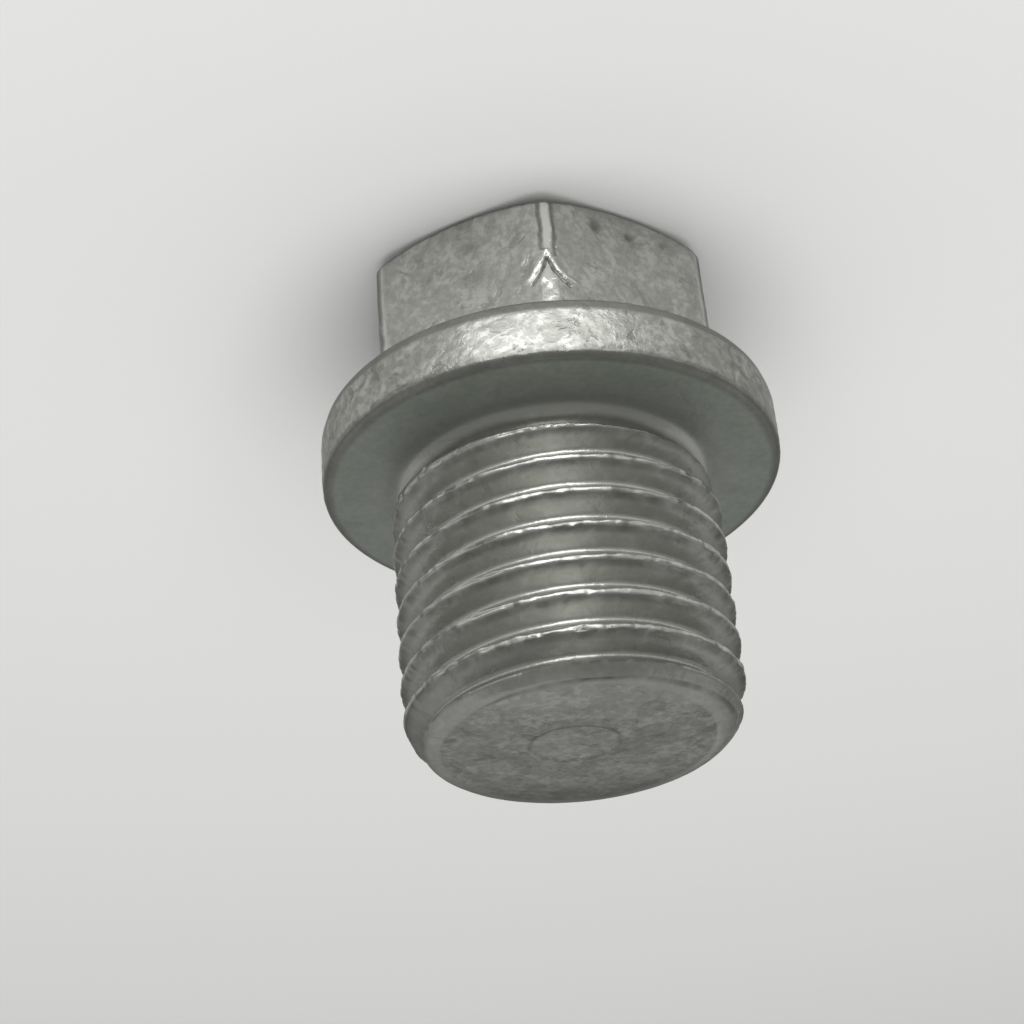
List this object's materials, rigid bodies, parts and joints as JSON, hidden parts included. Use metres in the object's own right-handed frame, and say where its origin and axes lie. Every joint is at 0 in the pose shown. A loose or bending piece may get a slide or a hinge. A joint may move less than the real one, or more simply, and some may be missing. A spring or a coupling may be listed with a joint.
{
  "type": "oil drain plug",
  "caption": "Collared hexagon-head plug with a fine right-hand thread, rounded lead-in and flat sealing face; it screws into a sump's drain hole and closes it.",
  "frame": {"origin": "middle of the hexagon head's flat face, which the plug stands on", "axes": "+Z along the plug's axis, from the head's face towards the free end of the thread; two corners of the hexagon lie on the Y axis"},
  "size_m": [0.0195, 0.0194, 0.022],
  "materials": {
    "zinc_plated_steel": "cold-headed steel with dull grey zinc plating, matte and finely mottled, brighter on the worn rim and crests"
  },
  "bodies": {
    "root": {"drain_plug": "zinc_plated_steel"}
  },
  "joints": []
}
